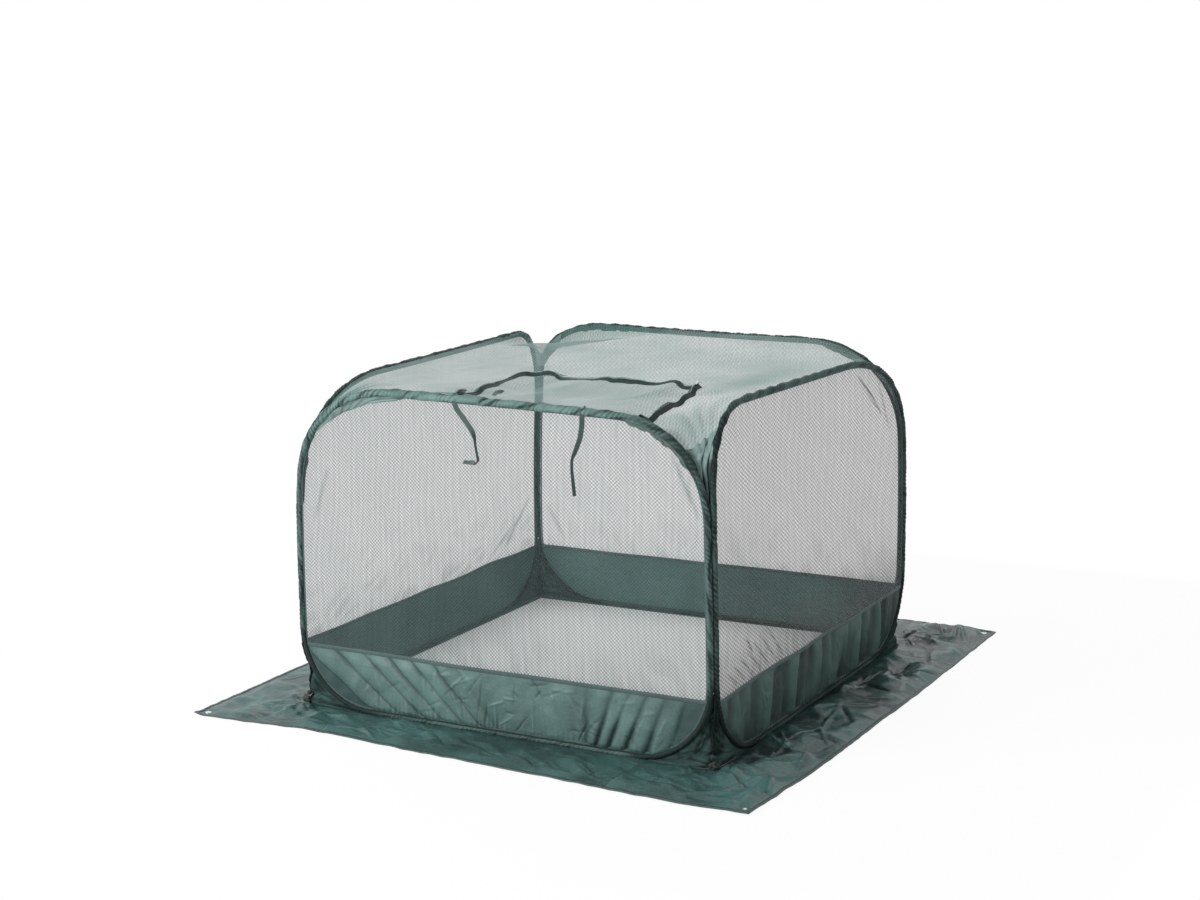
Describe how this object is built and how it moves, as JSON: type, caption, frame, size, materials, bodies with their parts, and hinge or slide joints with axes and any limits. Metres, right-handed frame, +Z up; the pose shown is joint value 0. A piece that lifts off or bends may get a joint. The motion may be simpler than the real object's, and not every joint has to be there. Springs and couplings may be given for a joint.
{
  "type": "pop-up greenhouse",
  "caption": "Square fold-flat plant tent: sprung wall loops in sleeves, net walls and roof, solid foot bands, zipped roof flap, and a ground skirt with eyelets.",
  "frame": {"origin": "on the ground, under the middle of the square plan", "axes": "+Z up; -Y is the front wall, along whose top the roof flap is hinged; +X is on the right when the front wall is faced from outside"},
  "size_m": [1.61, 1.61, 0.8564],
  "materials": {
    "band_cloth": "plain woven polyester, faint sheen",
    "sleeve_tape": "doubled woven tape",
    "seam_tape": "folded binding",
    "gusset_cloth": "plain woven polyester",
    "skirt_cloth": "coated woven polyester, satin",
    "wall_net": "fine net",
    "roof_net": "fine net",
    "tie_ribbon": "flat ribbon",
    "zip_tape": "woven zip tape",
    "zip_coil": "moulded nylon",
    "zip_metal": "plated",
    "eyelet_metal": "pressed and plated",
    "spring_steel": "tempered wire"
  },
  "bodies": {
    "front_wall": {"spring_loop_front": "spring_steel", "sleeve_front": "sleeve_tape", "net_front": "wall_net", "band_front": "band_cloth", "seam_tape_front": "seam_tape", "skirt_front": "skirt_cloth", "top_gusset_front_right": "gusset_cloth", "top_gusset_front_left": "gusset_cloth", "foot_gusset_front_right": "gusset_cloth", "foot_gusset_front_left": "gusset_cloth", "skirt_corner_front_right": "skirt_cloth", "skirt_corner_front_left": "skirt_cloth", "eyelet_front_right": "eyelet_metal", "eyelet_front_left": "eyelet_metal", "roof_net": "roof_net", "zip_tape_roof": "zip_tape", "zip_coil_roof": "zip_coil", "tie_ribbon_left": "tie_ribbon", "tie_ribbon_right": "tie_ribbon", "tie_tab_roof": "tie_ribbon"},
    "right_wall": {"spring_loop_right": "spring_steel", "sleeve_right": "sleeve_tape", "net_right": "wall_net", "band_right": "band_cloth", "seam_tape_right": "seam_tape", "skirt_right": "skirt_cloth", "top_gusset_back_right": "gusset_cloth", "foot_gusset_back_right": "gusset_cloth", "skirt_corner_back_right": "skirt_cloth", "eyelet_back_right": "eyelet_metal"},
    "back_wall": {"spring_loop_back": "spring_steel", "sleeve_back": "sleeve_tape", "net_back": "wall_net", "band_back": "band_cloth", "seam_tape_back": "seam_tape", "skirt_back": "skirt_cloth", "top_gusset_back_left": "gusset_cloth", "foot_gusset_back_left": "gusset_cloth", "skirt_corner_back_left": "skirt_cloth", "eyelet_back_left": "eyelet_metal"},
    "left_wall": {"spring_loop_left": "spring_steel", "sleeve_left": "sleeve_tape", "net_left": "wall_net", "band_left": "band_cloth", "seam_tape_left": "seam_tape", "skirt_left": "skirt_cloth"},
    "roof_flap": {"roof_flap_net": "roof_net", "zip_tape_flap": "zip_tape", "zip_coil_flap": "zip_coil", "tie_tab_flap": "tie_ribbon"},
    "zip_slider": {"zip_slider": "zip_metal"},
    "zip_pull": {"zip_pull": "zip_metal"}
  },
  "joints": [
    {"name": "frame_fold", "type": "hinge", "parent": "front_wall", "child": "right_wall", "pos_m": [0.593, -0.593, 0], "axis": [0, 0, 1], "range_deg": [0, 80], "deforming": ["roof_net", "top_gusset_front_right", "top_gusset_back_right", "top_gusset_back_left", "top_gusset_front_left", "foot_gusset_front_right", "foot_gusset_back_right", "foot_gusset_back_left", "foot_gusset_front_left", "skirt_corner_front_right", "skirt_corner_back_right", "skirt_corner_back_left", "skirt_corner_front_left"]},
    {"name": "left_corner_fold", "type": "hinge", "parent": "front_wall", "child": "left_wall", "pos_m": [-0.5965, -0.5965, 0], "axis": [0, 0, 1], "range_deg": [0, 80]},
    {"name": "back_corner_fold", "type": "hinge", "parent": "right_wall", "child": "back_wall", "pos_m": [0.5965, 0.5965, 0], "axis": [0, 0, 1], "range_deg": [-80, 0]},
    {"name": "roof_flap_hinge", "type": "hinge", "parent": "front_wall", "child": "roof_flap", "pos_m": [0.1525, -0.599, 0.8464], "axis": [1, 0, 0], "range_deg": [0, 180]},
    {"name": "zip_slide", "type": "slide", "parent": "front_wall", "child": "zip_slider", "axis": [0, -1, 0], "range_m": [0, 0.2]},
    {"name": "zip_pull_swing", "type": "hinge", "parent": "zip_slider", "child": "zip_pull", "pos_m": [0.4173, -0.30033, 0.8543], "axis": [1, 0, 0], "range_deg": [0, 150]}
  ],
  "couplings": [
    {"joint": "left_corner_fold", "follows": "frame_fold", "ratio": 1},
    {"joint": "back_corner_fold", "follows": "frame_fold", "ratio": -1}
  ]
}
